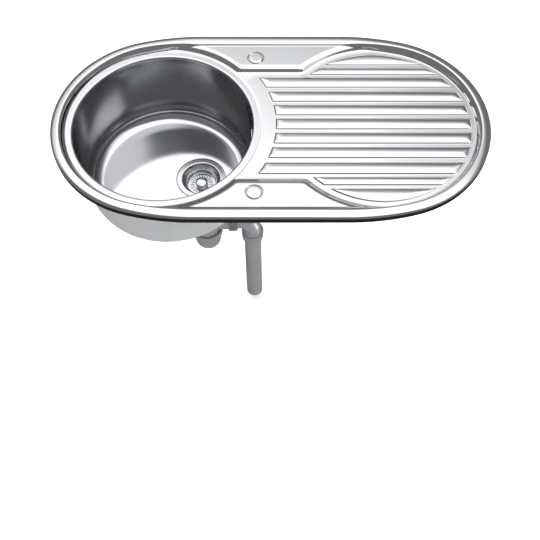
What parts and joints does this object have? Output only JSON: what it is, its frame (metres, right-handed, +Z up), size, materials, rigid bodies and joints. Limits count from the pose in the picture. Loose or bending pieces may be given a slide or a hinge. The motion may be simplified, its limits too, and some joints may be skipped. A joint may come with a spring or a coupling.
{
  "type": "kitchen sink",
  "caption": "Inset kitchen sink with a round bowl, a ribbed drainer, a basket strainer, an overflow hose and a bottle trap with its outlet pipe.",
  "frame": {"origin": "the middle of the rim's outline on the worktop surface that the seal rests on", "axes": "+X from the bowl to the drainer, +Y to the wall behind, +Z up out of the worktop"},
  "size_m": [0.85, 0.448, 0.7038],
  "materials": {
    "polished_steel": "polished",
    "satin_grey_plastic": "satin silver-grey",
    "black_rubber": "matt",
    "foam": "closed-cell foam",
    "zinc_steel": "zinc plated"
  },
  "bodies": {
    "sink": {"sink_deck": "polished_steel", "sink_bowl": "polished_steel", "rim_seal": "foam", "tap_hole_blank_rear": "polished_steel", "tap_hole_blank_front": "polished_steel", "clip_brackets": "zinc_steel", "strainer_body": "polished_steel", "strainer_gasket": "black_rubber", "waste_body": "satin_grey_plastic", "waste_gasket": "black_rubber", "strainer_screw": "polished_steel", "tail_washer": "black_rubber", "tail_pipe": "satin_grey_plastic", "overflow_head": "satin_grey_plastic", "overflow_gasket": "black_rubber", "overflow_plate": "polished_steel", "overflow_screw": "polished_steel", "overflow_tube": "satin_grey_plastic", "overflow_cuff": "satin_grey_plastic", "overflow_washer": "black_rubber", "overflow_hose": "satin_grey_plastic"},
    "overflow_nut": {"overflow_nut": "satin_grey_plastic"},
    "tail_nut": {"tail_nut": "satin_grey_plastic"},
    "basket": {"strainer_basket": "polished_steel", "basket_seal": "black_rubber", "basket_knob": "polished_steel"},
    "trap": {"trap_body": "satin_grey_plastic", "trap_inlet_seal": "black_rubber", "outlet_union_seal": "black_rubber"},
    "trap_inlet_nut": {"trap_inlet_nut": "satin_grey_plastic"},
    "trap_cup": {"trap_cup": "satin_grey_plastic", "trap_cup_seal": "black_rubber"},
    "trap_cup_ring": {"trap_cup_ring": "satin_grey_plastic"},
    "outlet_union_nut": {"outlet_union_nut": "satin_grey_plastic"},
    "outlet_elbow": {"outlet_elbow": "satin_grey_plastic", "outlet_pipe_seal": "black_rubber"},
    "outlet_pipe_nut": {"outlet_pipe_nut": "satin_grey_plastic"},
    "outlet_pipe": {"outlet_pipe": "satin_grey_plastic"},
    "clip_lever_rear_left": {"clip_lever_rear_left": "zinc_steel"},
    "clip_screw_rear_left": {"clip_screw_rear_left": "zinc_steel"},
    "clip_lever_rear_right": {"clip_lever_rear_right": "zinc_steel"},
    "clip_screw_rear_right": {"clip_screw_rear_right": "zinc_steel"},
    "clip_lever_front_left": {"clip_lever_front_left": "zinc_steel"},
    "clip_screw_front_left": {"clip_screw_front_left": "zinc_steel"},
    "clip_lever_front_right": {"clip_lever_front_right": "zinc_steel"},
    "clip_screw_front_right": {"clip_screw_front_right": "zinc_steel"}
  },
  "joints": [
    {"name": "basket_lift", "type": "slide", "parent": "sink", "child": "basket", "axis": [0, 0, 1], "range_m": [0, 0.22]},
    {"name": "overflow_nut_turn", "type": "hinge", "parent": "sink", "child": "overflow_nut", "pos_m": [-0.148, 0.066, -0.2018], "axis": [0, 1, 0], "continuous": true},
    {"name": "tail_nut_turn", "type": "hinge", "parent": "sink", "child": "tail_nut", "pos_m": [-0.148, 0, -0.24], "axis": [0, 0, 1], "continuous": true},
    {"name": "trap_swivel", "type": "hinge", "parent": "sink", "child": "trap", "pos_m": [-0.148, 0, -0.35], "axis": [0, 0, 1], "range_deg": [-180, 180]},
    {"name": "trap_inlet_nut_turn", "type": "hinge", "parent": "trap", "child": "trap_inlet_nut", "pos_m": [-0.148, 0, -0.316], "axis": [0, 0, 1], "continuous": true},
    {"name": "trap_cup_drop", "type": "slide", "parent": "trap", "child": "trap_cup", "axis": [0, 0, -1], "range_m": [0, 0.012]},
    {"name": "trap_cup_ring_turn", "type": "hinge", "parent": "trap_cup", "child": "trap_cup_ring", "pos_m": [-0.148, 0, -0.385], "axis": [0, 0, -1], "range_deg": [0, 1080]},
    {"name": "outlet_union_nut_turn", "type": "hinge", "parent": "trap", "child": "outlet_union_nut", "pos_m": [-0.086, 0, -0.3458], "axis": [1, 0, 0], "continuous": true},
    {"name": "outlet_elbow_swing", "type": "hinge", "parent": "trap", "child": "outlet_elbow", "pos_m": [-0.08, 0, -0.3458], "axis": [1, 0, 0], "range_deg": [-90, 90]},
    {"name": "outlet_pipe_nut_turn", "type": "hinge", "parent": "outlet_elbow", "child": "outlet_pipe_nut", "pos_m": [-0.0424, 0, -0.4], "axis": [0, 0, 1], "continuous": true},
    {"name": "outlet_pipe_slide", "type": "slide", "parent": "outlet_elbow", "child": "outlet_pipe", "axis": [0, 0, -1], "range_m": [0, 0.015]},
    {"name": "clip_lever_rear_left_swing", "type": "hinge", "parent": "sink", "child": "clip_lever_rear_left", "pos_m": [-0.08, 0.178, -0.046], "axis": [1, 0, 0], "range_deg": [0, 180]},
    {"name": "clip_screw_rear_left_feed", "type": "slide", "parent": "clip_lever_rear_left", "child": "clip_screw_rear_left", "axis": [0, 0, 1], "range_m": [0, 0.018]},
    {"name": "clip_lever_rear_right_swing", "type": "hinge", "parent": "sink", "child": "clip_lever_rear_right", "pos_m": [0.08, 0.178, -0.046], "axis": [1, 0, 0], "range_deg": [0, 180]},
    {"name": "clip_screw_rear_right_feed", "type": "slide", "parent": "clip_lever_rear_right", "child": "clip_screw_rear_right", "axis": [0, 0, 1], "range_m": [0, 0.018]},
    {"name": "clip_lever_front_left_swing", "type": "hinge", "parent": "sink", "child": "clip_lever_front_left", "pos_m": [-0.08, -0.178, -0.046], "axis": [-1, 0, 0], "range_deg": [0, 180]},
    {"name": "clip_screw_front_left_feed", "type": "slide", "parent": "clip_lever_front_left", "child": "clip_screw_front_left", "axis": [0, 0, 1], "range_m": [0, 0.018]},
    {"name": "clip_lever_front_right_swing", "type": "hinge", "parent": "sink", "child": "clip_lever_front_right", "pos_m": [0.08, -0.178, -0.046], "axis": [-1, 0, 0], "range_deg": [0, 180]},
    {"name": "clip_screw_front_right_feed", "type": "slide", "parent": "clip_lever_front_right", "child": "clip_screw_front_right", "axis": [0, 0, 1], "range_m": [0, 0.018]}
  ],
  "couplings": [
    {"joint": "trap_cup_ring_turn", "follows": "trap_cup_drop", "rad_per_m": 1570.8}
  ]
}
